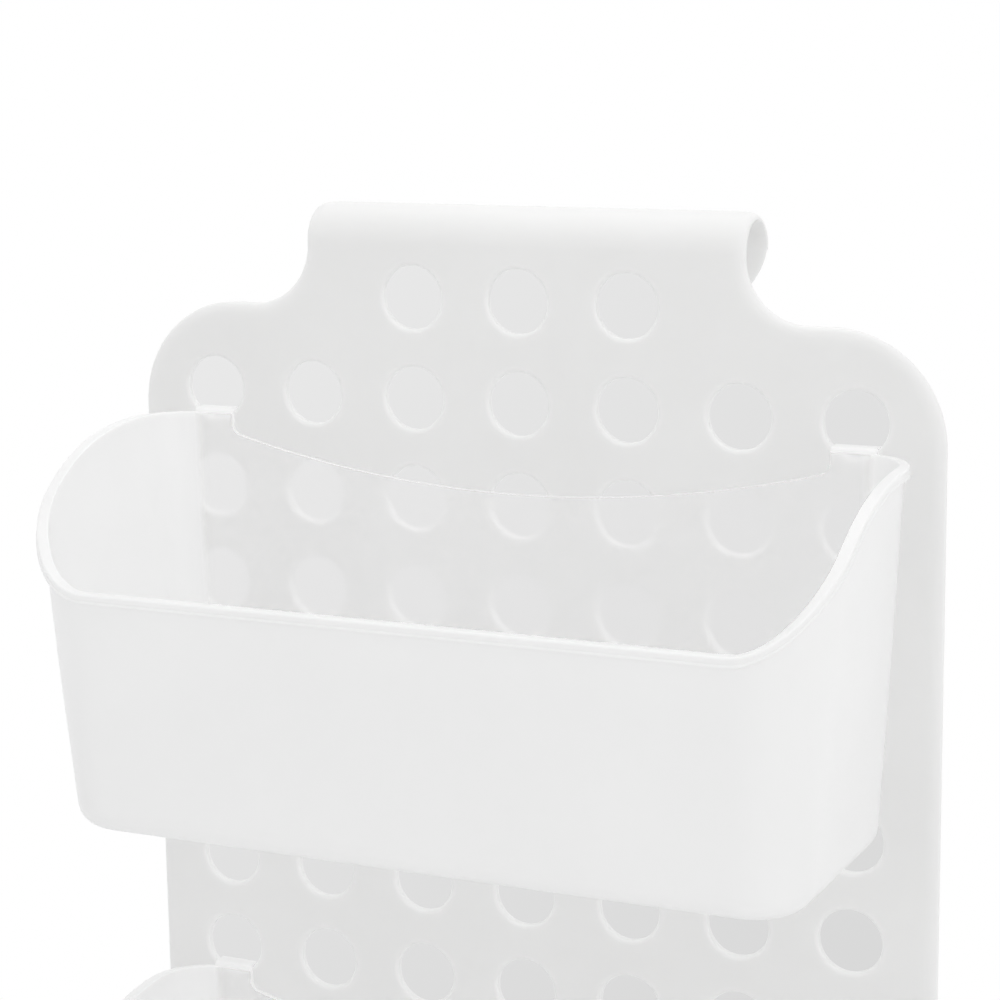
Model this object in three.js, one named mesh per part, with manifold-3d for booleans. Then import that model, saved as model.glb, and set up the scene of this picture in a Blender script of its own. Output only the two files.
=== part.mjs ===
// Hanging storage basket: a perforated back panel whose top rolls over into a rail hook, and two
// baskets that hang by tabs in the panel's holes. Millimetres, +Z up, the baskets face -Y.
// The origin is on the axis of the rail that the hook goes over, midway along the hook.

import * as THREE from 'three';
import { mergeGeometries, mergeVertices } from 'three/addons/utils/BufferGeometryUtils.js';
import Module from 'manifold-3d';

const wasm = await Module();
wasm.setup();

// Clearances
const seatGap = 0.3; // between a basket and the panel that it leans on
const tabClearance = 0.35; // round a tab in its hole
const overrun = 5; // how far a cutter reaches past what it cuts
const weld = 0.0001; // corners lie on a grid this fine, so that faces that should meet do

// Rail hook
const railRadius = 10;
const railClearance = 0.5;
const sheet = 2.6; // wall of the panel and of the hook
const flapDrop = 38.5; // from the rail's axis to the tip of the flap behind the panel
const flapTipShare = 0.74; // how flat the flap's curve leaves its tip, of its half-width
const flapSideShare = 0.31; // how straight it leaves its sides, of its drop

// Hole pattern: as many columns and rows as the panel has room for
const holeRadius = 11.1;
const holePitchX = 40;
const holePitchZ = 35.2;
const leastMargin = 25; // between the outer holes' centres and the panel's edge
const neckColumns = 3;
const neckMargin = 41.5; // from the outer holes of the neck to its edge
const neckRowDrop = 18.3; // from the rail's axis to the short row of holes in the neck
const rimRoundWidth = 1.75; // a hole's front rim is rounded off over this width
const rimRoundDepth = 1;

// Panel outline
const panelWidth = 300;
const panelDrop = 471.7; // from the rail's axis to the bottom edge
const shoulderMargin = 31; // from the first full row's centres to the shoulders beside the neck
const panelCornerRadius = 38.5;
const neckFilletRadius = 21.5;
const edgeRoundWidth = 5; // the front edge is rounded over this width
const edgeLand = 0.4; // and leaves this much of the sheet square

// Basket walls, measured outside at the floor
const wall = 1.8;
const floorWall = 2;
const sideReach = 12.2; // from the outer hole columns to the side walls
const basketDepth = 93.5;
const floorDrop = 140.1; // from the hole row to the underside
const draftShare = 0.075; // how far the walls lean out, of their height
const frontCornerRadius = 19.8;
const floorFillet = 8.8;
const rearCornerLand = 1.5; // how much larger the rear corners' radius is than the floor fillet

// Basket rim
const rimTopDrop = 9; // from the hole row to the rim at the rear
const rimDip = 45; // how much lower the rim is along the front
const rimCurvePower = 3.33; // the rim stays high along the sides and falls near the front
const lipHeight = 3.6;
const lipOverhang = 2.8;
const lipRoot = 1; // slope under the lip where it meets the wall

// Cut-out in the rear wall, between the tabs
const cutEndDrop = 16; // from the hole row to the cut-out's ends
const cutMiddleDrop = 31; // and to its lowest point
const cutCornerRadius = 3;

// Tabs
const tabTopShare = 0.69; // how far below the hole's centre a tab's top is, of its fitting radius
const tabBendRadius = 5;
const tabDrop = 5; // how far a tab reaches down behind the panel
const tabWall = 2;
const tabCornerRadius = 3;

// Rows that the baskets hang in, from the first full row of holes
const firstRow = 1;
const basketRows = { upper_basket: firstRow, lower_basket: 7 };

// Counts of flat facets and of steps
const holeFacets = 16;
const bendFacets = 40;
const cornerSteps = 8;
const rearCornerSteps = 4;
const sideSteps = 8;
const filletSteps = 4;
const lipSteps = 3;
const edgeSteps = 2;
const curveSteps = 10;

// Sizes that follow
const hookInner = railRadius + railClearance;
const hookOuter = hookInner + sheet;
const panelFront = -hookOuter;
const hookHalfWidth = ((neckColumns - 1) / 2) * holePitchX + neckMargin;
const panelHalfWidth = panelWidth / 2;
const columnGaps = Math.floor((panelWidth - 2 * leastMargin) / holePitchX);
const tabX = (columnGaps / 2) * holePitchX;
const rows = Math.floor((panelDrop - neckRowDrop - leastMargin) / holePitchZ);
const rowHeight = (row) => -(neckRowDrop + row * holePitchZ);
const shoulder = rowHeight(firstRow) + shoulderMargin;
const neckFillet = Math.min(neckFilletRadius, -shoulder);
const panelCorner = Math.min(panelCornerRadius, panelHalfWidth - hookHalfWidth - neckFillet);
const edgeRoundDepth = sheet - edgeLand;
const basketHalfWidth = tabX + sideReach;
const tabFitRadius = holeRadius - tabClearance;
const tabTop = -tabTopShare * tabFitRadius;
const tabHalfWidth = Math.sqrt(tabFitRadius ** 2 - tabTop ** 2);
const quarter = Math.PI / 2;

// A closed geometry as a solid that can be joined and cut
function solidOf(geometry) {
  const bare = geometry.clone();
  bare.deleteAttribute('normal');
  bare.deleteAttribute('uv');
  const merged = mergeVertices(bare, weld);
  const onGrid = (length) => Math.round(length / weld) * weld;
  const vertProperties = new Float32Array(merged.attributes.position.array).map(onGrid);
  const triVerts = new Uint32Array(wholeTriangles(merged.index.array));
  return new wasm.Manifold(new wasm.Mesh({ numProp: 3, vertProperties, triVerts }));
}

// The triangles that have three corners still, where corners on a turning axis became one
function wholeTriangles(index) {
  const whole = [];
  for (let first = 0; first < index.length; first += 3) {
    const triangle = index.slice(first, first + 3);
    if (new Set(triangle).size === triangle.length) {
      whole.push(...triangle);
    }
  }
  return whole;
}

// A solid back as a geometry
function geometryOf(solid) {
  const mesh = solid.getMesh();
  const geometry = new THREE.BufferGeometry();
  geometry.setAttribute('position', new THREE.BufferAttribute(mesh.vertProperties, 3));
  geometry.setIndex(new THREE.BufferAttribute(mesh.triVerts, 1));
  return geometry;
}

// A block between two corners
function block(low, high) {
  const size = new THREE.Vector3().subVectors(high, low);
  const middle = new THREE.Vector3().addVectors(low, high).multiplyScalar(1 / 2);
  const geometry = new THREE.BoxGeometry(size.x, size.y, size.z);
  return solidOf(geometry.translate(middle.x, middle.y, middle.z));
}

// An outline drawn in X and Z, stood up as a slab between two depths
function slab(outline, front, back, options = {}) {
  const settings = { depth: back - front, bevelEnabled: false, curveSegments: curveSteps };
  const geometry = new THREE.ExtrudeGeometry(outline, { ...settings, ...options });
  return solidOf(geometry.rotateX(quarter).translate(0, back, 0));
}

// A profile drawn in Y and Z, as a strip along X
function strip(profile, from, to) {
  const settings = { depth: to - from, bevelEnabled: false, curveSegments: curveSteps };
  const geometry = new THREE.ExtrudeGeometry(profile, settings);
  const turn = new THREE.Matrix4().makeBasis(
    new THREE.Vector3(0, 1, 0), new THREE.Vector3(0, 0, 1), new THREE.Vector3(1, 0, 0));
  return solidOf(geometry.applyMatrix4(turn).translate(from, 0, 0));
}

// Back panel: one sheet, flat behind, with a rounded front edge

// Half of a slab of twice the sheet, so that only the face on one side has a rounded edge
function sheetWithRoundEdge(outline, middle, facing) {
  const bevel = {
    depth: 2 * edgeLand,
    bevelEnabled: true,
    bevelThickness: edgeRoundDepth,
    bevelSize: edgeRoundWidth,
    bevelOffset: -edgeRoundWidth,
    bevelSegments: edgeSteps,
  };
  const both = slab(outline, middle - edgeLand, middle + edgeLand, bevel);
  const reach = panelHalfWidth + overrun;
  const other = middle - facing * (sheet + overrun);
  const low = new THREE.Vector3(-reach, Math.min(middle, other), -panelDrop - overrun);
  const high = new THREE.Vector3(reach, Math.max(middle, other), hookOuter + 2 * edgeRoundWidth);
  return both.subtract(block(low, high));
}

function panelOutline(top) {
  const side = panelHalfWidth - panelCorner;
  const neck = hookHalfWidth + neckFillet;
  const outline = new THREE.Shape();
  outline.moveTo(-side, -panelDrop);
  outline.absarc(side, panelCorner - panelDrop, panelCorner, -quarter, 0, false);
  outline.absarc(side, shoulder - panelCorner, panelCorner, 0, quarter, false);
  outline.absarc(neck, shoulder + neckFillet, neckFillet, -quarter, -2 * quarter, true);
  outline.lineTo(hookHalfWidth, top);
  outline.lineTo(-hookHalfWidth, top);
  outline.absarc(-neck, shoulder + neckFillet, neckFillet, 0, -quarter, true);
  outline.absarc(-side, shoulder - panelCorner, panelCorner, quarter, 2 * quarter, false);
  outline.absarc(-side, panelCorner - panelDrop, panelCorner, 2 * quarter, 3 * quarter, false);
  return outline;
}

function flapOutline(top) {
  const tip = flapTipShare * hookHalfWidth;
  const side = flapSideShare * flapDrop;
  const outline = new THREE.Shape();
  outline.moveTo(hookHalfWidth, top);
  outline.lineTo(-hookHalfWidth, top);
  outline.lineTo(-hookHalfWidth, 0);
  outline.bezierCurveTo(-hookHalfWidth, -side, -tip, -flapDrop, 0, -flapDrop);
  outline.bezierCurveTo(tip, -flapDrop, hookHalfWidth, -side, hookHalfWidth, 0);
  return outline;
}

// The bend of the hook: the sheet's section, with its rounded outer edges, turned about the rail
function hookBend() {
  const flat = hookHalfWidth - edgeRoundWidth;
  const profile = [];
  for (const side of [-1, 1]) {
    for (let step = 0; step <= edgeSteps; step += 1) {
      const angle = (side < 0 ? step : edgeSteps - step) * (quarter / edgeSteps);
      const radius = hookOuter - edgeRoundDepth * (1 - Math.sin(angle));
      profile.push(new THREE.Vector2(radius, side * (flat + edgeRoundWidth * Math.cos(angle))));
    }
  }
  profile.push(new THREE.Vector2(hookInner, hookHalfWidth));
  profile.push(new THREE.Vector2(hookInner, -hookHalfWidth));
  profile.push(profile[0].clone());
  const ring = solidOf(new THREE.LatheGeometry(profile, bendFacets).rotateZ(quarter));
  const reach = hookOuter + overrun;
  const low = new THREE.Vector3(-hookHalfWidth - overrun, -reach, -reach);
  const high = new THREE.Vector3(hookHalfWidth + overrun, reach, 0);
  return ring.subtract(block(low, high));
}

function holeCentres() {
  const centres = [];
  for (let row = 0; row <= rows; row += 1) {
    const gaps = row < firstRow ? neckColumns - 1 : columnGaps;
    for (let column = 0; column <= gaps; column += 1) {
      centres.push({ x: (column - gaps / 2) * holePitchX, z: rowHeight(row) });
    }
  }
  return centres;
}

// A pin through every hole, whose front end flares to take off the hole's rim
function holeCutters() {
  const front = panelFront - overrun;
  const back = panelFront + sheet + overrun;
  const mouth = holeRadius + rimRoundWidth;
  const profile = [
    new THREE.Vector2(0, front),
    new THREE.Vector2(mouth, front),
    new THREE.Vector2(mouth, panelFront),
    new THREE.Vector2(holeRadius, panelFront + rimRoundDepth),
    new THREE.Vector2(holeRadius, back),
    new THREE.Vector2(0, back),
  ];
  const pin = new THREE.LatheGeometry(profile, holeFacets);
  return solidOf(mergeGeometries(holeCentres().map(({ x, z }) => pin.clone().translate(x, 0, z))));
}

function backPanel() {
  const above = hookOuter + edgeRoundWidth;
  const front = sheetWithRoundEdge(panelOutline(above), -hookInner, -1);
  const flap = sheetWithRoundEdge(flapOutline(above), hookInner, 1);
  const reach = panelHalfWidth + overrun;
  const low = new THREE.Vector3(-reach, -hookOuter - overrun, 0);
  const high = new THREE.Vector3(reach, hookOuter + overrun, above + overrun);
  const sheets = front.add(flap).subtract(block(low, high));
  return sheets.subtract(holeCutters()).add(hookBend());
}

// Baskets: a lofted shell, wider at the rim than at the floor, whose rim swoops down to the front.
// Each is drawn about the centre of its hole row, with its rear wall's outside at zero depth.

// Stations once round the basket in plan, from the middle of the rear wall by the right side
function planStations() {
  const right = [];
  for (let step = 0; step <= rearCornerSteps; step += 1) {
    right.push({ part: 'rear corner', angle: quarter * (1 - step / rearCornerSteps) });
  }
  for (let step = 1; step < sideSteps; step += 1) {
    right.push({ part: 'side', share: step / sideSteps });
  }
  for (let step = 0; step <= cornerSteps; step += 1) {
    right.push({ part: 'front corner', angle: -quarter * (step / cornerSteps) });
  }
  const left = right.map((station) => ({ ...station, mirrored: true })).reverse();
  return [...right, ...left];
}

// A station's place in plan, on the floor's outline moved out by spread and its rear in by inset
function planPoint(station, spread, inset) {
  const halfWidth = basketHalfWidth + spread;
  const rearRadius = floorFillet + rearCornerLand + spread;
  const frontRadius = frontCornerRadius + spread;
  const rearY = -inset - rearRadius;
  const frontY = frontRadius - basketDepth - spread;
  let x = halfWidth;
  let y = THREE.MathUtils.lerp(rearY, frontY, station.share ?? 0);
  if (station.part === 'rear corner') {
    x = halfWidth - rearRadius * (1 - Math.cos(station.angle));
    y = rearY + rearRadius * Math.sin(station.angle);
  } else if (station.part === 'front corner') {
    x = halfWidth - frontRadius * (1 - Math.cos(station.angle));
    y = frontY + frontRadius * Math.sin(station.angle);
  }
  return { x: station.mirrored ? -x : x, y };
}

const spreadAt = (z) => draftShare * (z + floorDrop);

// The rim's height at a station, found by steps because the walls lean out
function rimHeight(station) {
  let z = -rimTopDrop;
  for (let step = 0; step < curveSteps; step += 1) {
    const { y } = planPoint(station, spreadAt(z), 0);
    const share = -y / (basketDepth + spreadAt(-rimTopDrop - rimDip));
    z = -rimTopDrop - rimDip * Math.min(Math.max(share, 0), 1) ** rimCurvePower;
  }
  return z;
}

// The wall's section at a station: up the outside, over the lip and down the inside
function wallSection(station) {
  const top = rimHeight(station);
  const section = [];
  const put = (spread, inset, z) => {
    const { x, y } = planPoint(station, spread, inset);
    section.push(new THREE.Vector3(x, y, z));
  };
  for (let step = 0; step <= filletSteps; step += 1) {
    const angle = quarter * (step / filletSteps);
    const inset = floorFillet * (1 - Math.sin(angle));
    put(-inset, inset, floorFillet * (1 - Math.cos(angle)) - floorDrop);
  }
  const lipFoot = top - lipHeight;
  put(spreadAt(lipFoot - lipRoot), 0, lipFoot - lipRoot);
  for (let step = 0; step <= lipSteps; step += 1) {
    const angle = quarter * (step / lipSteps);
    const z = lipFoot + lipHeight * Math.sin(angle);
    put(spreadAt(z) - wall + (wall + lipOverhang) * Math.cos(angle), wall * (1 - Math.cos(angle)), z);
  }
  const innerFillet = floorFillet - wall;
  for (let step = filletSteps; step >= 0; step -= 1) {
    const angle = quarter * (step / filletSteps);
    const inset = wall + innerFillet * (1 - Math.sin(angle));
    put(-inset, inset, floorWall - floorDrop + innerFillet * (1 - Math.cos(angle)));
  }
  return section;
}

// The shell between neighbouring sections, closed by a fan under the floor and one on it
function basketShell() {
  const sections = planStations().map(wallSection);
  const levels = sections[0].length;
  const corners = sections.flat().flatMap((point) => [point.x, point.y, point.z]);
  const under = sections.length * levels;
  corners.push(0, -basketDepth / 2, -floorDrop);
  corners.push(0, -basketDepth / 2, floorWall - floorDrop);
  const faces = [];
  for (let here = 0; here < under; here += levels) {
    const next = (here + levels) % under;
    for (let level = 0; level < levels - 1; level += 1) {
      faces.push(here + level, here + level + 1, next + level + 1);
      faces.push(here + level, next + level + 1, next + level);
    }
    faces.push(under, here, next);
    faces.push(under + 1, next + levels - 1, here + levels - 1);
  }
  const geometry = new THREE.BufferGeometry();
  geometry.setAttribute('position', new THREE.Float32BufferAttribute(corners, 3));
  geometry.setIndex(faces);
  return solidOf(geometry);
}

// The opening between the tabs, with a shallow arc for its lower edge
function rearCutOut() {
  const half = tabX - tabHalfWidth;
  const top = -cutEndDrop;
  const chord = half - cutCornerRadius;
  const sagitta = cutMiddleDrop - cutEndDrop;
  const arcRadius = (chord ** 2 + sagitta ** 2) / (2 * sagitta);
  const sweep = Math.asin(chord / arcRadius);
  const outline = new THREE.Shape();
  outline.moveTo(half, overrun);
  outline.lineTo(-half, overrun);
  outline.lineTo(-half, top + cutCornerRadius);
  outline.quadraticCurveTo(-half, top, -chord, top);
  outline.absarc(0, arcRadius - cutMiddleDrop, arcRadius, -quarter - sweep, sweep - quarter, false);
  outline.quadraticCurveTo(half, top, half, top + cutCornerRadius);
  return slab(outline, -wall - overrun, overrun);
}

// A tab: up from the rear wall, back through the hole, where it follows the hole's lower half,
// and down behind the panel
function tab(x) {
  const front = -wall;
  const dropFront = 2 * seatGap + sheet;
  const back = dropFront + tabWall;
  const profile = new THREE.Shape();
  profile.moveTo(front, -cutMiddleDrop);
  profile.absarc(front + tabBendRadius, tabTop - tabBendRadius, tabBendRadius, 2 * quarter, quarter, true);
  profile.lineTo(dropFront, tabTop);
  profile.lineTo(dropFront, -tabFitRadius);
  profile.lineTo(0, -tabFitRadius);
  profile.lineTo(0, -cutMiddleDrop);
  const bend = strip(profile, -tabHalfWidth, tabHalfWidth);
  const low = new THREE.Vector3(-holeRadius, 0, -holeRadius);
  const high = new THREE.Vector3(holeRadius, dropFront, holeRadius);
  const fit = new THREE.CylinderGeometry(tabFitRadius, tabFitRadius, 2 * back, holeFacets);
  const fitted = bend.subtract(block(low, high).subtract(solidOf(fit)));
  return fitted.add(slab(tabDropOutline(), dropFront, back)).translate(x, 0, 0);
}

// The tab's drop behind the panel, with rounded lower corners
function tabDropOutline() {
  const tip = -tabFitRadius - tabDrop;
  const side = tabHalfWidth - tabCornerRadius;
  const outline = new THREE.Shape();
  outline.moveTo(-side, tip);
  outline.absarc(side, tip + tabCornerRadius, tabCornerRadius, -quarter, 0, false);
  outline.lineTo(tabHalfWidth, tabTop);
  outline.lineTo(-tabHalfWidth, tabTop);
  outline.absarc(-side, tip + tabCornerRadius, tabCornerRadius, 2 * quarter, 3 * quarter, false);
  return outline;
}

function basket() {
  return basketShell().subtract(rearCutOut()).add(tab(-tabX)).add(tab(tabX));
}

// Materials
const whitePlastic = new THREE.MeshStandardMaterial({ color: 0xeeeeec, roughness: 0.45, metalness: 0 });
whitePlastic.name = 'white_plastic';
const frostedPlastic = new THREE.MeshStandardMaterial({ color: 0xe8e9e8, roughness: 0.4, metalness: 0 });
frostedPlastic.name = 'frosted_plastic';
frostedPlastic.transparent = true;
frostedPlastic.opacity = 0.7;

// Assembly
const model = new THREE.Group();

const panelMesh = new THREE.Mesh(geometryOf(backPanel()), whitePlastic);
panelMesh.name = 'back_panel';
model.add(panelMesh);

for (const [name, row] of Object.entries(basketRows)) {
  const mesh = new THREE.Mesh(geometryOf(basket()), frostedPlastic.clone());
  mesh.name = name;
  mesh.position.set(0, panelFront - seatGap, rowHeight(row));
  model.add(mesh);
}

export default model;
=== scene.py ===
# %% [markdown]
# # A hanging storage basket
# A perforated white panel rolls over at the top into a hook for a rail, and two frosted baskets
# hang by tabs in its holes. The panel and each basket are one moulding of their own, so this
# lesson models three pieces around a fixed frame, finishes them, and lights them on a pale stage.

# %% Load the frame
import math

import bmesh
import bpy
from mathutils import Matrix, Vector


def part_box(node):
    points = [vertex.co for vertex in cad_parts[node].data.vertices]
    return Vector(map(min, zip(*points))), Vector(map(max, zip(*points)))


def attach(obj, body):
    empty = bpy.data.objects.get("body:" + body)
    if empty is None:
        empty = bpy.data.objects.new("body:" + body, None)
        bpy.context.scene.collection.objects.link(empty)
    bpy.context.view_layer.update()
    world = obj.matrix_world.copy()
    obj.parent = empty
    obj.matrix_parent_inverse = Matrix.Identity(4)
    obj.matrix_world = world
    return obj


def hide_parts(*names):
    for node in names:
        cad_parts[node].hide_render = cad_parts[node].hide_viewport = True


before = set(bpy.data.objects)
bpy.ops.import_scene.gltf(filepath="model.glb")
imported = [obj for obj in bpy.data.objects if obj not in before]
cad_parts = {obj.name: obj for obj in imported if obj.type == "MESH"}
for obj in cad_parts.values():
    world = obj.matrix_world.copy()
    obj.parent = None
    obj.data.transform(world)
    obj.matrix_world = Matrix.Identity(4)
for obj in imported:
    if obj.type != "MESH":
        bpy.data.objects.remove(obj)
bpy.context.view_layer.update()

# %% [markdown]
# ## Sizes
# Blender works in metres, and this object is easier to think of in millimetres, so each size is a
# number of millimetres times `MM`. Outer sizes come from the frame. The small ones, such as the
# sheet's thickness or the holes' radius, are those of the real mouldings.

# %% Sizes of the panel
MM = 0.001
QUARTER = math.pi / 2

panel_low, panel_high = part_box("back_panel")
sheet = 2.6 * MM
hook_outer = panel_high.y
hook_inner = hook_outer - sheet
panel_front = panel_low.y
half_width = panel_high.x
bottom = panel_low.z
hook_half_width = 81.5 * MM
neck_row = -18.3 * MM
hole_pitch_x = 40 * MM
hole_pitch_z = 35.2 * MM
hole_columns = 7
hole_rows = 12
neck_columns = 3
hole_radius = 11.1 * MM
shoulder_margin = 31 * MM
shoulder = neck_row - hole_pitch_z + shoulder_margin
corner_radius = 38.5 * MM
neck_fillet = 21.5 * MM
edge_round_width = 5 * MM
edge_land = 0.4 * MM
rim_round_width = 1.75 * MM
rim_round_depth = 1 * MM
flap_drop = 38.5 * MM
print("panel", round(2 * half_width / MM, 1), "mm wide, shoulder at", round(shoulder / MM, 1))

# %% Sizes of a basket, about the centre of its hole row
wall = 1.8 * MM
floor_wall = 2 * MM
seat_gap = 0.3 * MM
basket_half_width = 132.2 * MM
basket_depth = 93.5 * MM
floor_drop = 140.1 * MM
draft = 0.075
front_corner = 19.8 * MM
rear_corner = 10.3 * MM
floor_fillet = 8.8 * MM
rim_top_drop = 9 * MM
rim_dip = 45 * MM
rim_power = 3.33
lip_height = 3.6 * MM
lip_overhang = 2.69 * MM
lip_root = 0.6 * MM
lip_edge = 0.3 * MM
lip_groove = 0.45 * MM
lip_round = 0.8 * MM
tab_x = hole_pitch_x * (hole_columns - 1) / 2
tab_radius = hole_radius - 0.35 * MM
tab_top = -0.69 * tab_radius
tab_half_width = math.sqrt(tab_radius ** 2 - tab_top ** 2)
basket_rows = {"upper_basket": 1, "lower_basket": 7}
print("tabs", round(2 * tab_half_width / MM, 1), "mm wide")

# %% [markdown]
# ## Helpers
# Every step below selects some corners, edges or faces by where they are, and then calls an
# operator on them. These helpers deselect everything first, go in and out of edit mode, and pick
# by a test on each element's middle.


# %% Selecting and editing
def start_piece(name):
    """Names the primitive that was just added, and applies its place, turn and size."""
    piece = bpy.context.active_object
    piece.name = name
    piece.data.name = name
    bpy.ops.object.transform_apply(location=True, rotation=True, scale=True)
    return piece


def only(piece):
    bpy.ops.object.select_all(action="DESELECT")
    piece.select_set(True)
    bpy.context.view_layer.objects.active = piece


def edit(piece):
    only(piece)
    bpy.ops.object.mode_set(mode="EDIT")
    bpy.ops.mesh.select_all(action="SELECT")


def done():
    bpy.ops.object.mode_set(mode="OBJECT")


def pick(kind, test):
    """Selects the corners, edges or faces whose middle passes the test, and counts them."""
    bpy.ops.mesh.select_mode(type=kind)
    bpy.ops.mesh.select_all(action="DESELECT")
    mesh = bmesh.from_edit_mesh(bpy.context.active_object.data)
    items = {"VERT": mesh.verts, "EDGE": mesh.edges, "FACE": mesh.faces}[kind]
    count = 0
    for item in items:
        if kind == "VERT":
            middle = item.co
        elif kind == "EDGE":
            middle = (item.verts[0].co + item.verts[1].co) / 2
        else:
            middle = item.calc_center_median()
        if test(middle):
            item.select_set(True)
            count += 1
    mesh.select_flush_mode()
    bmesh.update_edit_mesh(bpy.context.active_object.data)
    return count


def near(value, target, slack=0.02 * MM):
    return abs(value - target) < slack


def apply(piece, kind, **settings):
    """Adds a modifier to a piece and applies it."""
    only(piece)
    modifier = piece.modifiers.new(kind.title(), kind)
    for key, value in settings.items():
        setattr(modifier, key, value)
    bpy.ops.object.modifier_apply(modifier=modifier.name)


def cut(piece, cutter, operation="DIFFERENCE"):
    """Cuts, joins or crosses a piece with another, which is then removed.

    A cut can leave corners that nearly touch, so those are merged."""
    apply(piece, "BOOLEAN", object=cutter, operation=operation, solver="MANIFOLD")
    bpy.data.objects.remove(cutter)
    edit(piece)
    bpy.ops.mesh.remove_doubles(threshold=0.001 * MM)
    bpy.ops.mesh.dissolve_degenerate(threshold=0.001 * MM)
    done()


def shade(piece, angle):
    """Smooth shading where faces meet gently, with large flat faces kept flat."""
    only(piece)
    bpy.ops.object.shade_smooth_by_angle(angle=math.radians(angle))
    apply(piece, "WEIGHTED_NORMAL", keep_sharp=True, weight=100)


# %% [markdown]
# ## The panel
# The real panel is one injection moulding, 2.6 mm thick, flat behind, with a softly rounded front
# edge. It could be a curve with a bevel, but a curve can't have a rounded edge on one side only.
# A plane is the better start: it gets its neck by an extrusion, its corners by a corner bevel,
# and its rounded edge by insets that rise a little less each time.


# %% A sheet with one rounded edge
EDGE_STEPS = 8
CORNER_SEGMENTS = 24
NECK_SEGMENTS = 16


def raise_round_edge():
    """Thickens the selected face of a flat outline, and rounds its edge by rising insets."""
    depth = sheet - edge_land
    bpy.ops.mesh.extrude_region_shrink_fatten(
        TRANSFORM_OT_shrink_fatten={"value": edge_land})
    for step in range(EDGE_STEPS):
        angle = QUARTER * step / EDGE_STEPS
        next_angle = QUARTER * (step + 1) / EDGE_STEPS
        inward = edge_round_width * (math.cos(angle) - math.cos(next_angle))
        upward = depth * (math.sin(next_angle) - math.sin(angle))
        bpy.ops.mesh.inset(thickness=inward, depth=upward, use_even_offset=True)


def panel_sheet():
    """The flat part of the panel with its neck, cut off level with the rail's middle."""
    height = shoulder - bottom
    bpy.ops.mesh.primitive_plane_add(
        size=1, location=(0, -hook_inner, bottom + height / 2), rotation=(QUARTER, 0, 0))
    bpy.ops.transform.resize(value=(2 * half_width, 1, height))
    panel = start_piece("panel")
    edit(panel)
    for side in (-1, 1):
        bpy.ops.mesh.select_all(action="SELECT")
        bpy.ops.mesh.bisect(plane_co=(side * hook_half_width, 0, 0), plane_no=(1, 0, 0))
    pick("EDGE", lambda p: near(p.z, shoulder) and near(p.x, 0))
    bpy.ops.mesh.extrude_region_move(
        TRANSFORM_OT_translate={"value": (0, 0, 2 * hook_outer - shoulder)})
    bpy.ops.mesh.select_all(action="SELECT")
    bpy.ops.mesh.dissolve_faces()
    pick("VERT", lambda p: near(p.z, bottom) and near(abs(p.x), hook_half_width))
    bpy.ops.mesh.dissolve_verts()
    pick("VERT", lambda p: near(abs(p.x), half_width))
    bpy.ops.mesh.bevel(offset=corner_radius, segments=CORNER_SEGMENTS, affect="VERTICES")
    pick("VERT", lambda p: near(abs(p.x), hook_half_width) and near(p.z, shoulder))
    bpy.ops.mesh.bevel(offset=neck_fillet, segments=NECK_SEGMENTS, affect="VERTICES")
    pick("FACE", lambda p: True)
    raise_round_edge()
    bpy.ops.mesh.select_all(action="SELECT")
    bpy.ops.mesh.bisect(plane_co=(0, 0, 0), plane_no=(0, 0, 1), clear_outer=True)
    done()
    return panel


panel = panel_sheet()
print("panel sheet", len(panel.data.polygons), "faces")

# %% [markdown]
# ## The hook
# The neck rolls over the rail in a half circle and ends in a half-round flap. The bend is the
# sheet's own section spun about the rail, so its rounded edge runs on without a step. The flap
# starts as a circle, and a bridge of faces joins it to the end of the bend.


# %% Bend and flap
BEND_STEPS = 40
FLAP_SIDES = 128
flap_rise = 3.5 * MM
flap_join = 0.5 * MM


def spin_hook(panel):
    edit(panel)
    pick("EDGE", lambda p: near(p.z, 0))
    bpy.ops.mesh.spin(steps=BEND_STEPS, angle=math.pi, center=(0, 0, 0), axis=(1, 0, 0))
    done()


def flap_sheet():
    bpy.ops.mesh.primitive_circle_add(
        vertices=FLAP_SIDES, radius=1, fill_type="NGON", location=(0, hook_inner, flap_rise),
        rotation=(-QUARTER, 0, 0))
    bpy.ops.transform.resize(value=(hook_half_width, 1, flap_drop + flap_rise))
    flap = start_piece("flap")
    edit(flap)
    pick("FACE", lambda p: True)
    raise_round_edge()
    bpy.ops.mesh.select_all(action="SELECT")
    bpy.ops.mesh.bisect(plane_co=(0, 0, -flap_join), plane_no=(0, 0, 1), clear_outer=True)
    done()
    return flap


def join_flap(panel, flap):
    only(flap)
    panel.select_set(True)
    bpy.context.view_layer.objects.active = panel
    bpy.ops.object.join()
    edit(panel)
    bpy.ops.mesh.remove_doubles(threshold=0.005 * MM)
    bpy.ops.mesh.select_all(action="DESELECT")
    bpy.ops.mesh.select_mode(type="EDGE")
    bpy.ops.mesh.select_non_manifold()
    bpy.ops.mesh.bridge_edge_loops()
    bpy.ops.mesh.select_all(action="SELECT")
    bpy.ops.mesh.normals_make_consistent(inside=False)
    done()


spin_hook(panel)
join_flap(panel, flap_sheet())
print("panel with hook", len(panel.data.polygons), "faces")

# %% [markdown]
# ## The holes
# Seven columns and twelve rows of round holes, and three more in the neck. Each has a rounded
# front rim. One cutter with a flared mouth is modelled from a cylinder, repeated by array
# modifiers, and all of them cut at once, so that every rim is the same.


# %% Hole cutters
RIM_STEPS = 6
HOLE_SIDES = 64


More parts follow.
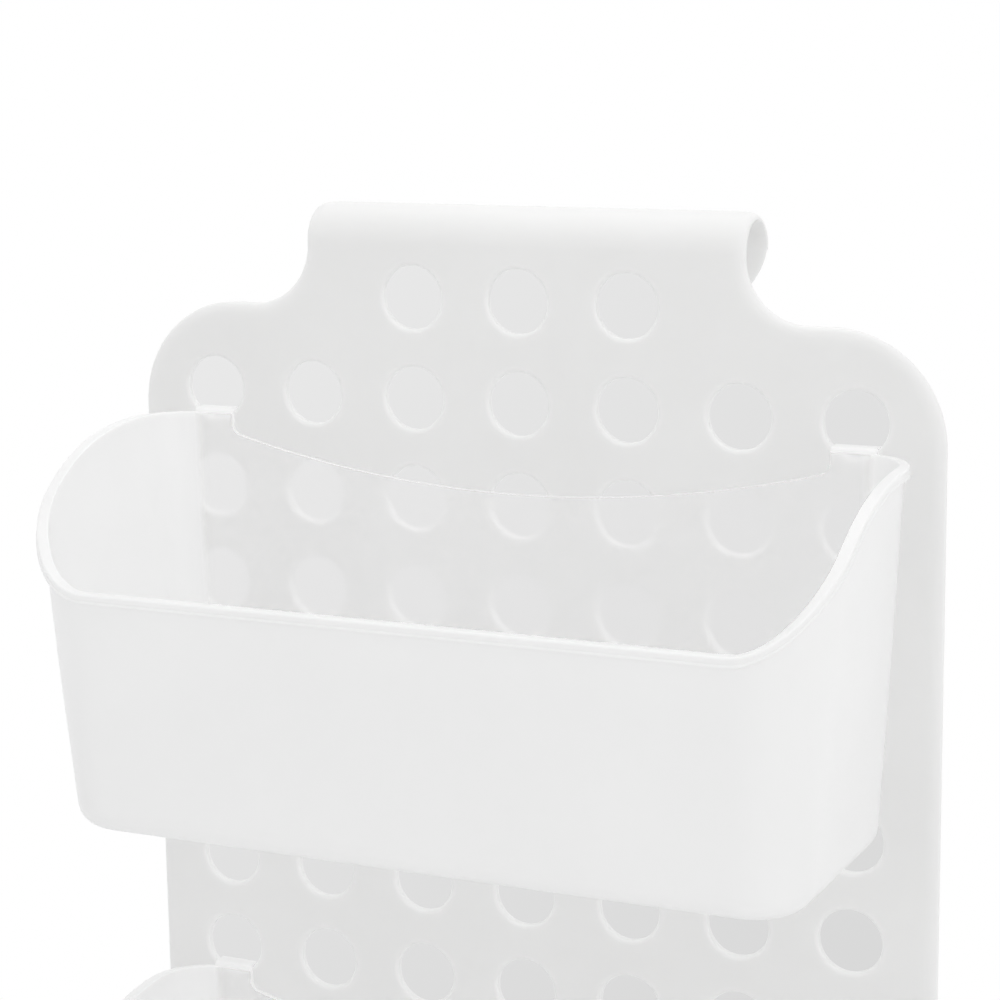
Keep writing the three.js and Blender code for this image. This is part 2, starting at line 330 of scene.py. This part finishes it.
def hole_cutter():
    """A pin as wide as the bore, whose front end flares out over the rim's rounding.

    The flare ends a hair in front of the panel, so that the two surfaces cross cleanly."""
    reach = 2 * sheet
    hair = 0.002 * MM
    mouth = panel_front + rim_round_depth - hair
    bpy.ops.mesh.primitive_cylinder_add(
        vertices=HOLE_SIDES, radius=hole_radius, depth=reach, rotation=(QUARTER, 0, 0),
        location=(0, mouth + reach / 2, 0))
    cutter = start_piece("hole_cutter")
    edit(cutter)
    pick("FACE", lambda p: near(p.y, mouth))
    radius = hole_radius
    for step in range(1, RIM_STEPS + 1):
        angle = QUARTER * step / RIM_STEPS
        last = QUARTER * (step - 1) / RIM_STEPS
        forward = rim_round_depth * (math.sin(angle) - math.sin(last))
        wider = hole_radius + rim_round_width * (1 - math.cos(angle))
        bpy.ops.mesh.extrude_region_move(TRANSFORM_OT_translate={"value": (0, -forward, 0)})
        bpy.ops.transform.resize(value=(wider / radius, 1, wider / radius))
        radius = wider
    bpy.ops.mesh.extrude_region_move(TRANSFORM_OT_translate={"value": (0, -reach, 0)})
    done()
    return cutter


def spread(piece, count, offset):
    apply(piece, "ARRAY", count=count, use_relative_offset=False, use_constant_offset=True,
          constant_offset_displace=offset)


def copy_of(piece, name):
    """A copy with a mesh of its own."""
    twin = piece.copy()
    twin.data = piece.data.copy()
    twin.name = name
    bpy.context.scene.collection.objects.link(twin)
    return twin


def move_mesh(piece, offset):
    piece.data.transform(Matrix.Translation(offset))


def divide_between_holes(panel):
    """Lines halfway between the holes, so that no face is left with more than one hole."""
    edit(panel)
    for column in range(1 - hole_columns, hole_columns + 1, 2):
        bpy.ops.mesh.select_all(action="SELECT")
        bpy.ops.mesh.bisect(plane_co=(column * hole_pitch_x / 2, 0, 0), plane_no=(1, 0, 0))
    for row in range(hole_rows + 1):
        bpy.ops.mesh.select_all(action="SELECT")
        bpy.ops.mesh.bisect(plane_co=(0, 0, neck_row - hole_pitch_z * (row + 0.5)),
                            plane_no=(0, 0, 1))
    done()


def cut_holes(panel):
    divide_between_holes(panel)
    field = hole_cutter()
    neck = copy_of(field, "neck_cutter")
    spread(field, hole_columns, (hole_pitch_x, 0, 0))
    spread(field, hole_rows, (0, 0, -hole_pitch_z))
    move_mesh(field, (-tab_x, 0, neck_row - hole_pitch_z))
    spread(neck, neck_columns, (hole_pitch_x, 0, 0))
    move_mesh(neck, (-hole_pitch_x * (neck_columns - 1) / 2, 0, neck_row))
    cut(panel, field)
    cut(panel, neck)


cut_holes(panel)
shade(panel, angle=30)
print("panel with holes", len(panel.data.polygons), "faces")

# %% [markdown]
# ## The basket's shell
# The basket is wider at its rim than at its floor, its rear wall stands straight against the
# panel, and its rim stays high along the sides and then swoops down to the front. Operators alone
# can't lean three walls and not the fourth while the rim's height changes, so the shell is a
# primitive grid, one column for each station round the basket and one row for each level of the
# wall's section, whose corners are put in place by a formula, and whose seam is then merged. The
# lip is part of the section: a turned-out flange with a shallow groove in its edge, so that it
# catches the light in two fine lines.

# %% The plan, once round the basket
CORNER_STEPS = 14
SIDE_STEPS = 20
REAR_STEPS = 8
FRONT_STEPS = 6
RIM_TURNS = 8


def plan_stations():
    """Stations from the middle of the rear wall, by the right side to the front's middle."""
    stations = [("rear", step / 2) for step in range(2)]
    stations += [("rear corner", QUARTER * (1 - step / REAR_STEPS)) for step in range(REAR_STEPS)]
    stations += [("side", step / SIDE_STEPS) for step in range(SIDE_STEPS)]
    stations += [("front corner", -QUARTER * step / CORNER_STEPS) for step in range(CORNER_STEPS)]
    stations += [("front", step / FRONT_STEPS) for step in range(FRONT_STEPS)]
    return stations


def plan_point(station, out, inset):
    """A station's place, on the floor's outline moved out, and in from the rear by inset."""
    kind, along = station
    width = basket_half_width + out
    rear_radius = rear_corner + out
    front_radius = front_corner + out
    rear_y = -inset - rear_radius
    front_y = front_radius - basket_depth - out
    if kind == "rear":
        return along * (width - rear_radius), -inset
    if kind == "rear corner":
        x = width - rear_radius * (1 - math.cos(along))
        return x, rear_y + rear_radius * math.sin(along)
    if kind == "side":
        return width, rear_y + along * (front_y - rear_y)
    if kind == "front corner":
        x = width - front_radius * (1 - math.cos(along))
        return x, front_y + front_radius * math.sin(along)
    return (1 - along) * (width - front_radius), -basket_depth - out


def lean(z):
    return draft * (z + floor_drop)


def rim_height(station):
    """The rim's height at a station, found in a few turns because the walls lean."""
    z = -rim_top_drop
    front = basket_depth + lean(-rim_top_drop - rim_dip)
    for _ in range(RIM_TURNS):
        y = plan_point(station, lean(z), 0)[1]
        z = -rim_top_drop - rim_dip * min(max(-y / front, 0), 1) ** rim_power
    return z


# %% The wall's section, from the floor's underside over the lip to the floor's top
FILLET_STEPS = 8
LIP_STEPS = 5
WALL_STEPS = 2


def lip_outline():
    """The lip as (in from its outer edge, up from its foot): edge, shallow groove, round top."""
    points = [(lip_edge, 0), (lip_edge / 4, lip_edge / 4), (0, lip_edge), (0, 2 * lip_edge)]
    points += [(lip_groove / 3, 3 * lip_edge), (lip_groove, 4 * lip_edge)]
    for step in range(LIP_STEPS + 1):
        angle = QUARTER * step / LIP_STEPS
        points.append((lip_groove + lip_round * (1 - math.cos(angle)),
                       lip_height - lip_round * (1 - math.sin(angle))))
    inner_round = lip_round / 2
    for step in range(LIP_STEPS + 1):
        angle = QUARTER * step / LIP_STEPS
        points.append((wall + lip_overhang - inner_round * (1 - math.sin(angle)),
                       lip_height - inner_round * (1 - math.cos(angle))))
    return points


def section(station):
    """Points of the section as (outward, inward from the rear, height)."""
    top = rim_height(station)
    foot = top - lip_height
    points = []
    for step in range(FILLET_STEPS + 1):
        angle = QUARTER * step / FILLET_STEPS
        inward = floor_fillet * (1 - math.sin(angle))
        points.append((-inward, inward, floor_fillet * (1 - math.cos(angle)) - floor_drop))
    start = floor_fillet - floor_drop
    for step in range(1, WALL_STEPS + 1):
        z = start + (foot - lip_root - start) * step / WALL_STEPS
        points.append((lean(z), 0, z))
    for back, height in lip_outline():
        z = foot + height
        across = 1 - back / (wall + lip_overhang)
        points.append((lean(z) + lip_overhang - back, wall * (1 - across), z))
    inner = floor_fillet - wall
    bend = floor_wall - floor_drop + inner
    for step in range(1, WALL_STEPS):
        z = top + (bend - top) * step / WALL_STEPS
        points.append((lean(z) - wall, wall, z))
    for step in range(FILLET_STEPS, -1, -1):
        angle = QUARTER * step / FILLET_STEPS
        inward = wall + inner * (1 - math.sin(angle))
        points.append((-inward, inward, floor_wall - floor_drop + inner * (1 - math.cos(angle))))
    return points


print("section", len(section(("rear", 0))), "points, rim dips",
      round((rim_height(("rear", 0)) - rim_height(("front", 1))) / MM, 1), "mm")


# %% The shell itself
def basket_shell():
    right = plan_stations()
    end = ("front", 1.0)
    around = right + [end] + [(kind, along) for kind, along in reversed(right)]
    signs = [1] * (len(right) + 1) + [-1] * len(right)
    sections = [section(station) for station in around]
    levels = len(sections[0])
    columns = len(around)
    bpy.ops.mesh.primitive_grid_add(
        x_subdivisions=columns - 1, y_subdivisions=levels - 1, size=1, location=(0, 0, 0))
    shell = start_piece("basket_shell")
    for corner in shell.data.vertices:
        column = round((corner.co.x + 0.5) * (columns - 1))
        level = round((corner.co.y + 0.5) * (levels - 1))
        out, inset, z = sections[column][level]
        x, y = plan_point(around[column], out, inset)
        corner.co = (signs[column] * x, y, z)
    edit(shell)
    bpy.ops.mesh.remove_doubles(threshold=0.001 * MM)
    for height in (-floor_drop, floor_wall - floor_drop):
        pick("EDGE", lambda p: near(p.z, height))
        bpy.ops.mesh.edge_face_add()
    bpy.ops.mesh.select_all(action="SELECT")
    bpy.ops.mesh.normals_make_consistent(inside=False)
    done()
    return shell


shell = basket_shell()
print("basket shell", len(shell.data.polygons), "faces")

# %% [markdown]
# ## The rear wall's cut-out
# Between the tabs the rear wall dips in a long shallow arc. A cylinder could cut it, but its ends
# would slant. The cutter is an upright plane instead, swung about the arc's centre by a spin, and
# bisected so that its ends stand upright. A bevel rounds the arc's two ends.

# %% The cut-out
cut_end = -16 * MM
cut_middle = -31 * MM
cut_corner = 3 * MM
ARC_STEPS = 64
SWING = 1.2


def rear_cutter():
    half = tab_x - tab_half_width
    dip = cut_end - cut_middle
    radius = (half ** 2 + dip ** 2) / (2 * dip)
    sweep = SWING * math.asin(half / radius)
    centre = Vector((0, 0, cut_middle + radius))
    depth = 4 * wall
    tall = -2 * cut_middle
    bpy.ops.mesh.primitive_plane_add(
        size=1, location=(0, -wall / 2, cut_middle + tall / 2), rotation=(0, QUARTER, 0))
    bpy.ops.transform.resize(value=(1, depth, tall))
    cutter = start_piece("rear_cutter")
    turn = Matrix.Translation(centre) @ Matrix.Rotation(sweep, 4, "Y")
    cutter.data.transform(turn @ Matrix.Translation(-centre))
    edit(cutter)
    bpy.ops.mesh.spin(steps=ARC_STEPS, angle=2 * sweep, center=centre, axis=(0, 1, 0))
    for side in (-1, 1):
        bpy.ops.mesh.select_all(action="SELECT")
        bpy.ops.mesh.bisect(plane_co=(side * half, 0, 0), plane_no=(side, 0, 0),
                            use_fill=True, clear_outer=True)
    bpy.ops.mesh.select_all(action="SELECT")
    bpy.ops.mesh.normals_make_consistent(inside=False)
    pick("EDGE", lambda p: near(abs(p.x), half) and near(p.y, -wall / 2) and p.z < cut_middle / 3)
    bpy.ops.mesh.bevel(offset=cut_corner, segments=8)
    done()
    return cutter


# %% [markdown]
# ## The tabs
# The basket hangs by two tabs, each a short piece of its rear wall that goes back through a hole
# and down behind the panel. It is extruded along that way from a block as wide as the tab. What
# is in the hole has to be round below, so a block with a round bore takes away the rest.

# %% A tab
tab_bend = 5 * MM
tab_drop = 5 * MM
tab_tip = 2 * MM
tab_corner = 3 * MM


def basket_tab(side):
    """Up from the rear wall, back through the hole, and down behind the panel."""
    drop_front = 2 * seat_gap + sheet
    height = tab_top - cut_middle
    bpy.ops.mesh.primitive_cube_add(size=1, location=(0, -wall / 2, tab_top - height / 2))
    bpy.ops.transform.resize(value=(2 * tab_half_width, wall, height))
    tab = start_piece("tab")
    edit(tab)
    bpy.ops.mesh.bisect(plane_co=(0, 0, -tab_radius), plane_no=(0, 0, 1))
    pick("FACE", lambda p: near(p.y, 0) and p.z > -tab_radius)
    bpy.ops.mesh.extrude_region_move(TRANSFORM_OT_translate={"value": (0, drop_front, 0)})
    bpy.ops.mesh.extrude_region_move(TRANSFORM_OT_translate={"value": (0, tab_tip, 0)})
    pick("FACE", lambda p: near(p.z, -tab_radius) and p.y > drop_front)
    bpy.ops.mesh.extrude_region_move(TRANSFORM_OT_translate={"value": (0, 0, -tab_drop)})
    pick("EDGE", lambda p: near(p.y, -wall) and near(p.z, tab_top))
    bpy.ops.mesh.bevel(offset=tab_bend, segments=12)
    pick("EDGE", lambda p: near(p.z, -tab_radius - tab_drop) and near(abs(p.x), tab_half_width))
    bpy.ops.mesh.bevel(offset=tab_corner, segments=8)
    pick("EDGE", lambda p: near(p.y, drop_front + tab_tip) and near(p.z, tab_top))
    bpy.ops.mesh.bevel(offset=tab_tip / 2, segments=6)
    done()
    bpy.ops.mesh.primitive_cube_add(size=1, location=(0, drop_front / 2, 0))
    bpy.ops.transform.resize(value=(2 * hole_radius, drop_front, 2 * hole_radius))
    around = start_piece("around_hole")
    bpy.ops.mesh.primitive_cylinder_add(
        vertices=HOLE_SIDES, radius=tab_radius, depth=4 * drop_front, rotation=(QUARTER, 0, 0))
    cut(around, start_piece("hole"))
    cut(tab, around)
    move_mesh(tab, (side * tab_x, 0, 0))
    return tab


# %% [markdown]
# ## Two baskets from one
# Both real baskets come out of one mould. So the shell is cut and joined to its tabs once, by
# Boolean modifiers, and each row gets a copy with a mesh of its own, because each basket moves by
# itself.

# %% Cut and join, then hang a copy of the basket in each of its rows
cut(shell, rear_cutter())
for side in (-1, 1):
    cut(shell, basket_tab(side), "UNION")

baskets = {}
for node, row in basket_rows.items():
    basket = copy_of(shell, node + "_frosted")
    move_mesh(basket, (0, panel_front - seat_gap, neck_row - row * hole_pitch_z))
    shade(basket, angle=35)
    baskets[node] = basket
    print(node, len(basket.data.polygons), "faces")
bpy.data.objects.remove(shell)

# %% [markdown]
# ## Materials
# Both plastics are mouldings with a matt grain: fine noise in the object's own coordinates drives
# bump and roughness, and slow noise lets the colour drift a little, as real resin does. Light
# sinks a few millimetres into such plastic before it comes out again, so both use subsurface
# scattering, which also softens their edges. Some of it goes right through a thin wall. Rough
# transmission could show that, but it is slow and grainy, so a share of the light is let through
# by a clear shader instead.


# %% Node helpers
def new_material(name):
    material = bpy.data.materials.new(name)
    material.use_nodes = True
    nodes = material.node_tree.nodes
    return material, nodes, material.node_tree.links, nodes["Principled BSDF"]


def noise(nodes, links, scale, detail=3):
    """Noise in object coordinates, in cycles a metre."""
    place = nodes.new("ShaderNodeTexCoord")
    texture = nodes.new("ShaderNodeTexNoise")
    texture.inputs["Scale"].default_value = scale
    texture.inputs["Detail"].default_value = detail
    links.new(place.outputs["Object"], texture.inputs["Vector"])
    return texture.outputs["Fac"]


def ranged(nodes, links, source, low, high):
    """Noise, which keeps between about 0.3 and 0.7, stretched from low to high."""
    stretch = nodes.new("ShaderNodeMapRange")
    stretch.inputs["From Min"].default_value = 0.3
    stretch.inputs["From Max"].default_value = 0.7
    stretch.inputs["To Min"].default_value = low
    stretch.inputs["To Max"].default_value = high
    links.new(source, stretch.inputs["Value"])
    return stretch.outputs["Result"]


def tinted(nodes, links, source, first, second):
    blend = nodes.new("ShaderNodeMix")
    blend.data_type = "RGBA"
    blend.inputs["A"].default_value = (*first, 1)
    blend.inputs["B"].default_value = (*second, 1)
    links.new(ranged(nodes, links, source, 0, 1), blend.inputs["Factor"])
    return blend.outputs["Result"]


def grain(nodes, links, shader, fine, coarse, strength):
    """Fine mould texture over a slow waviness, as bump."""
    slow = nodes.new("ShaderNodeBump")
    slow.inputs["Strength"].default_value = strength / 2
    slow.inputs["Distance"].default_value = 0.3 * MM
    links.new(noise(nodes, links, coarse), slow.inputs["Height"])
    quick = nodes.new("ShaderNodeBump")
    quick.inputs["Strength"].default_value = strength
    quick.inputs["Distance"].default_value = 0.02 * MM
    links.new(noise(nodes, links, fine, detail=2), quick.inputs["Height"])
    links.new(slow.outputs["Normal"], quick.inputs["Normal"])
    links.new(quick.outputs["Normal"], shader.inputs["Normal"])


def number(nodes, links, operation, first, second):
    """A Math node on sockets or plain numbers."""
    node = nodes.new("ShaderNodeMath")
    node.operation = operation
    for socket, value in zip(node.inputs, (first, second)):
        if isinstance(value, (int, float)):
            socket.default_value = value
        else:
            links.new(value, socket)
    return node.outputs["Value"]


def let_light_through(nodes, links, shader, share, seen=0):
    """Makes a finish clear for a share of the light, and for a share of what is seen.

    A ray that is inside the plastic already leaves it unhindered."""
    path = nodes.new("ShaderNodeLightPath")
    light = number(nodes, links, "MAXIMUM", path.outputs["Is Shadow Ray"],
                   path.outputs["Is Diffuse Ray"])
    passed = number(nodes, links, "MULTIPLY", light, share)
    inside = nodes.new("ShaderNodeNewGeometry").outputs["Backfacing"]
    entering = number(nodes, links, "MAXIMUM", passed, seen)
    clear = nodes.new("ShaderNodeBsdfTransparent")
    mix = nodes.new("ShaderNodeMixShader")
    links.new(number(nodes, links, "MAXIMUM", entering, inside), mix.inputs["Fac"])
    links.new(shader.outputs["BSDF"], mix.inputs[1])
    links.new(clear.outputs["BSDF"], mix.inputs[2])
    links.new(mix.outputs["Shader"], nodes["Material Output"].inputs["Surface"])


# %% [markdown]
# ## White plastic
# The panel is a plain white plastic with a satin mould texture. The grain could be a picture, but
# noise nodes have no seam and stay fine from close by. The colour is held a little below white,
# so that it keeps its shading in strong light.

# %% White plastic
WHITE_DARK = (0.80, 0.80, 0.797)
WHITE_LIGHT = (0.82, 0.82, 0.817)
WHITE_DEPTH = 2.5 * MM
WHITE_SHARE = 0.6


def white_plastic():
    material, nodes, links, shader = new_material("white_plastic_detail")
    colour = tinted(nodes, links, noise(nodes, links, scale=14), WHITE_DARK, WHITE_LIGHT)
    links.new(colour, shader.inputs["Base Color"])
    matt = ranged(nodes, links, noise(nodes, links, scale=900), low=0.38, high=0.48)
    links.new(matt, shader.inputs["Roughness"])
    shader.inputs["IOR"].default_value = 1.49
    shader.inputs["Subsurface Weight"].default_value = 1
    shader.inputs["Subsurface Radius"].default_value = (1, 1, 1)
    shader.inputs["Subsurface Scale"].default_value = WHITE_DEPTH
    grain(nodes, links, shader, fine=2200, coarse=25, strength=0.25)
    let_light_through(nodes, links, shader, WHITE_SHARE)
    return material


# %% [markdown]
# ## Frosted plastic on the panel
# A frosted wall hides what is far behind it and shows what touches it. A basket's rear wall lies
# on the panel, so the panel's holes show through it, while the free walls look opaque. One
# material does both: a face turns partly clear where it is close to the panel and parallel to it,
# which its place and its normal tell, also when the basket is lifted.


# %% Close to the panel
CLOSE_FROM = 9 * MM
CLOSE_FULLY = 3 * MM
FACING_FROM = 0.95
FACING_FULLY = 0.998


def faded(nodes, links, source, low, high):
    """0 below low, 1 above high, and a smooth step between."""
    fade = nodes.new("ShaderNodeMapRange")
    fade.interpolation_type = "SMOOTHSTEP"
    fade.inputs["From Min"].default_value = low
    fade.inputs["From Max"].default_value = high
    links.new(source, fade.inputs["Value"])
    return fade.outputs["Result"]


def depth_part(nodes, links, vector):
    split = nodes.new("ShaderNodeSeparateXYZ")
    links.new(vector, split.inputs["Vector"])
    return split.outputs["Y"]


def near_panel(nodes, links):
    """1 on the rear wall's faces, which lie on the panel, falling to 0 round corners and edges."""
    place = nodes.new("ShaderNodeTexCoord").outputs["Object"]
    normal = nodes.new("ShaderNodeNewGeometry").outputs["Normal"]
    depth = depth_part(nodes, links, place)
    close = faded(nodes, links, depth, panel_front - CLOSE_FROM, panel_front - CLOSE_FULLY)
    turned = number(nodes, links, "ABSOLUTE", depth_part(nodes, links, normal), 0)
    facing = faded(nodes, links, turned, FACING_FROM, FACING_FULLY)
    return number(nodes, links, "MULTIPLY", close, facing)


# %% Frosted plastic
FROSTED_DARK = (0.837, 0.837, 0.836)
FROSTED_LIGHT = (0.857, 0.857, 0.856)
FROSTED_DEPTH = 4 * MM
FROSTED_SHARE = 0.91
REAR_CLEAR = 0.78


def frosted_plastic():
    material, nodes, links, shader = new_material("frosted_plastic_detail")
    colour = tinted(nodes, links, noise(nodes, links, scale=18), FROSTED_DARK, FROSTED_LIGHT)
    links.new(colour, shader.inputs["Base Color"])
    matt = ranged(nodes, links, noise(nodes, links, scale=700), low=0.32, high=0.42)
    links.new(matt, shader.inputs["Roughness"])
    shader.inputs["IOR"].default_value = 1.49
    shader.inputs["Subsurface Weight"].default_value = 1
    shader.inputs["Subsurface Radius"].default_value = (1, 1, 1)
    shader.inputs["Subsurface Scale"].default_value = FROSTED_DEPTH
    grain(nodes, links, shader, fine=1600, coarse=25, strength=0.15)
    close = near_panel(nodes, links)
    share = number(nodes, links, "MAXIMUM", close, FROSTED_SHARE)
    seen = number(nodes, links, "MULTIPLY", close, REAR_CLEAR)
    let_light_through(nodes, links, shader, share, seen)
    return material


# %% [markdown]
# ## Materials on pieces
# Each finished piece takes the place of its plain solid in the frame and rides on that solid's
# body, so that it moves with it. The slot names the finish in the part's record.

# %% Materials on pieces
def coat(piece, material):
    """Gives every face the material. A cut leaves an empty slot behind, so slots go first."""
    piece.data.materials.clear()
    piece.data.materials.append(material)


coat(panel, white_plastic())
frosted = frosted_plastic()
for node, piece in baskets.items():
    coat(piece, frosted)
    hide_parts(node)
    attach(piece, node)
panel.name = "panel_sheet"
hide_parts("back_panel")
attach(panel, "back_panel")
print("materials", [material.name for material in bpy.data.materials])

# %% [markdown]
# ## Stage, light and camera
# The light is even, as in a light tent, and most of it comes from the world. A picture of a
# studio could light it too, but a plain world mirrors no lamps in the plastic. It is white where
# it is seen, and dimmer as light, so that pale plastic keeps its tones. The floor is pale, keeps
# the object's shadow, and fades to white at its rim.


# %% What the camera, gloss and frosted plastic see
def is_seen(nodes, links):
    """1 for camera, glossy and transmission rays, and 0 for the rays that carry light."""
    path = nodes.new("ShaderNodeLightPath")
    total = path.outputs["Is Camera Ray"]
    for kind in ("Is Glossy Ray", "Is Transmission Ray"):
        total = number(nodes, links, "MAXIMUM", total, path.outputs[kind])
    return total


# %% World
WORLD_LIGHT = 0.838


def white_world():
    world = bpy.data.worlds.new("studio")
    bpy.context.scene.world = world
    world.use_nodes = True
    nodes = world.node_tree.nodes
    links = world.node_tree.links
    light = nodes["Background"]
    light.inputs["Color"].default_value = (1, 1, 1, 1)
    light.inputs["Strength"].default_value = WORLD_LIGHT
    seen = nodes.new("ShaderNodeBackground")
    seen.inputs["Strength"].default_value = 1
    seen.inputs["Color"].default_value = (1, 1, 1, 1)
    mix = nodes.new("ShaderNodeMixShader")
    links.new(is_seen(nodes, links), mix.inputs["Fac"])
    links.new(light.outputs["Background"], mix.inputs[1])
    links.new(seen.outputs["Background"], mix.inputs[2])
    links.new(mix.outputs["Shader"], nodes["World Output"].inputs["Surface"])


white_world()


# %% Floor
floor_middle = (0, -0.5, -0.56)
floor_radius = 1.1


def fading_floor():
    """A paper floor that keeps the object's shadow and fades to white at its rim."""
    bpy.ops.mesh.primitive_circle_add(
        vertices=96, radius=floor_radius, fill_type="NGON", location=floor_middle)
    floor = start_piece("floor")
    material, nodes, links, shader = new_material("floor_paper")
    shader.inputs["Base Color"].default_value = (0.9, 0.9, 0.9, 1)
    shader.inputs["Roughness"].default_value = 0.9
    shader.inputs["Specular IOR Level"].default_value = 0.1
    place = nodes.new("ShaderNodeTexCoord")
    away = nodes.new("ShaderNodeVectorMath")
    away.operation = "DISTANCE"
    away.inputs[1].default_value = floor_middle
    links.new(place.outputs["Object"], away.inputs[0])
    fade = faded(nodes, links, away.outputs["Value"], low=0.35, high=1.05)
    white = nodes.new("ShaderNodeEmission")
    white.inputs["Strength"].default_value = 1
    mix = nodes.new("ShaderNodeMixShader")
    seen = number(nodes, links, "MULTIPLY", fade, is_seen(nodes, links))
    links.new(seen, mix.inputs["Fac"])
    links.new(shader.outputs["BSDF"], mix.inputs[1])
    links.new(white.outputs["Emission"], mix.inputs[2])
    links.new(mix.outputs["Shader"], nodes["Material Output"].inputs["Surface"])
    floor.data.materials.append(material)


fading_floor()


# %% [markdown]
# ## What shows through the holes
# The panel hangs close in front of something, and its holes show it as a plain grey, the shade
# that falls on it behind the panel. A solid board there would darken the panel's back and hide it
# from behind. So a card stands there with that shade painted on. It glows at a grey level of its
# own, lighter towards the top left, shows on its front only and holds no light back.

# %% Card of painted shade behind the holes
card_depth = -7.8 * MM
# The card's glow level and its fall across the card are painted shade: the grey of a surface in
# the panel's shadow, darker towards the bottom right.
card_top = -5 * MM
card_shade_level = 0.795
card_shade_fall = (-0.25, 0, 0.3)


def painted_shade_card():
    """A card close behind the panel, seen from the front only, glowing with painted shade, lighter
    towards the top left.
    """
    inset = 14 * MM
    width = 2 * (half_width - inset)
    top = neck_row - hole_pitch_z / 2
    low = bottom + inset
    bpy.ops.mesh.primitive_plane_add(
        size=1, location=(0, card_depth, (top + low) / 2), rotation=(QUARTER, 0, 0))
    bpy.ops.transform.resize(value=(width, 1, top - low))
    card = start_piece("painted_shade_card")
    edit(card)
    for side in (-1, 1):
        bpy.ops.mesh.select_all(action="SELECT")
        bpy.ops.mesh.bisect(plane_co=(side * (hook_half_width - inset), 0, 0), plane_no=(1, 0, 0))
    pick("EDGE", lambda p: near(p.z, top) and near(p.x, 0))
    bpy.ops.mesh.extrude_region_move(TRANSFORM_OT_translate={"value": (0, 0, card_top - top)})
    done()
    material, nodes, links, shader = new_material("card_painted_shade")
    nodes.remove(shader)
    place = nodes.new("ShaderNodeTexCoord")
    fall = nodes.new("ShaderNodeVectorMath")
    fall.operation = "DOT_PRODUCT"
    fall.inputs[1].default_value = card_shade_fall
    links.new(place.outputs["Object"], fall.inputs[0])
    level = number(nodes, links, "ADD", fall.outputs["Value"], card_shade_level)
    # Painted shade: the card glows at this level instead of being lit.
    grey = nodes.new("ShaderNodeEmission")
    links.new(level, grey.inputs["Strength"])
    clear = nodes.new("ShaderNodeBsdfTransparent")
    back = nodes.new("ShaderNodeNewGeometry").outputs["Backfacing"]
    front = number(nodes, links, "SUBTRACT", 1, back)
    mix = nodes.new("ShaderNodeMixShader")
    seen = number(nodes, links, "MULTIPLY", front, is_seen(nodes, links))
    links.new(seen, mix.inputs["Fac"])
    links.new(clear.outputs["BSDF"], mix.inputs[1])
    links.new(grey.outputs["Emission"], mix.inputs[2])
    links.new(mix.outputs["Shader"], nodes["Material Output"].inputs["Surface"])
    card.data.materials.append(material)


painted_shade_card()


# %% [markdown]
# ## Lamps and camera
# A small softbox close above gives the hook and the lips their sheen, and a large one on the
# right models the corners. Points of light would do it too, but with hard shadows. The camera
# stands far off with a long lens, a little to the right and above, so that the grid of holes
# narrows only slightly.

# %% Lamps
def area_light(name, power, size, place, target):
    bpy.ops.object.light_add(type="AREA", location=place)
    lamp = bpy.context.active_object
    lamp.name = name
    lamp.data.shape = "RECTANGLE"
    lamp.data.size, lamp.data.size_y = size
    lamp.data.energy = power
    lamp.rotation_euler = (Vector(target) - Vector(place)).to_track_quat("-Z", "Y").to_euler()


area_light("top_softbox", power=0.45, size=(0.6, 0.4),
           place=(-0.02, -0.05, 0.35), target=(0, -0.05, 0))
area_light("right_softbox", power=2.6, size=(0.8, 1.4),
           place=(1.3, -0.9, 0.3), target=(0, -0.05, -0.25))


# %% Camera
def photo_camera():
    """The photograph's camera, solved from the panel's regular grid of holes."""
    place = Vector((378.70 * MM, -832.96 * MM, 88.25 * MM))
    azimuth = math.radians(25.21)
    elevation = math.radians(10.96)
    roll = math.radians(-0.80)
    level_right = Vector((math.cos(azimuth), math.sin(azimuth), 0))
    forward = Vector((-math.sin(azimuth) * math.cos(elevation),
                      math.cos(azimuth) * math.cos(elevation), -math.sin(elevation)))
    level_up = level_right.cross(forward)
    right = math.cos(roll) * level_right + math.sin(roll) * level_up
    up = math.cos(roll) * level_up - math.sin(roll) * level_right
    turn = Matrix((right, up, -forward)).transposed()
    bpy.ops.object.camera_add()
    camera = bpy.context.active_object
    camera.name = "camera"
    camera.matrix_world = Matrix.Translation(place) @ turn.to_4x4()
    camera.data.sensor_width = 36
    camera.data.lens = 96.23
    camera.data.clip_start = 0.01
    bpy.context.scene.camera = camera


photo_camera()
bpy.context.scene.view_settings.view_transform = "Standard"
print("camera at", [round(c, 3) for c in bpy.context.scene.camera.matrix_world.translation])
